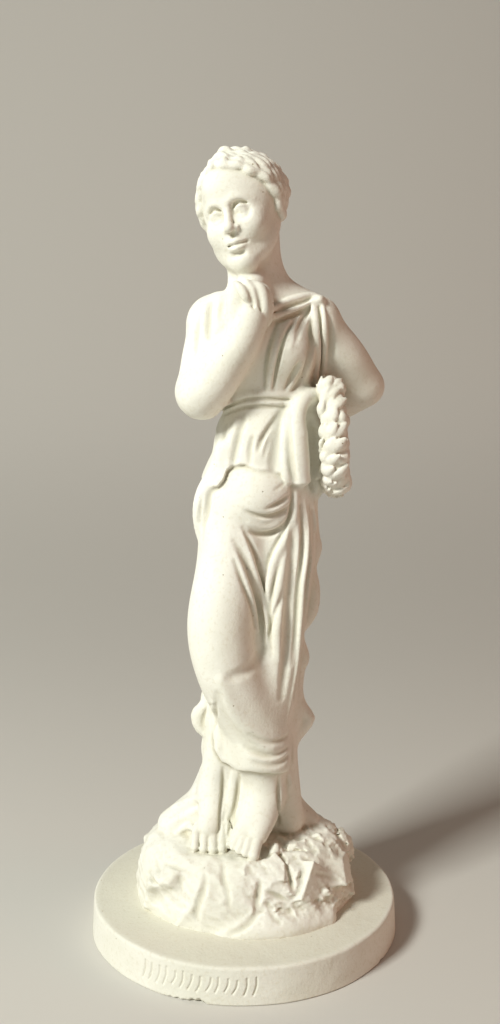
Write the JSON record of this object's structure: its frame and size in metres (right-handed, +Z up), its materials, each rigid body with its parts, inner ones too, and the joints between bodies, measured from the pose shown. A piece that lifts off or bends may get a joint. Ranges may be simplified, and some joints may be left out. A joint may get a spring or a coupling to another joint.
{
  "type": "plaster figurine",
  "caption": "Cast plaster figurine of a draped goddess on a rock, one hand at her throat, a wreath at her hip, on a thick round foot.",
  "frame": {"origin": "centre of the round foot's underside", "axes": "+Z up through the figure, -Y the way she faces, +X to her left"},
  "size_m": [0.121, 0.121, 0.3],
  "materials": {
    "plaster": "matte, unglazed cast plaster, warm white"
  },
  "bodies": {
    "root": {"figurine": "plaster"}
  },
  "joints": []
}
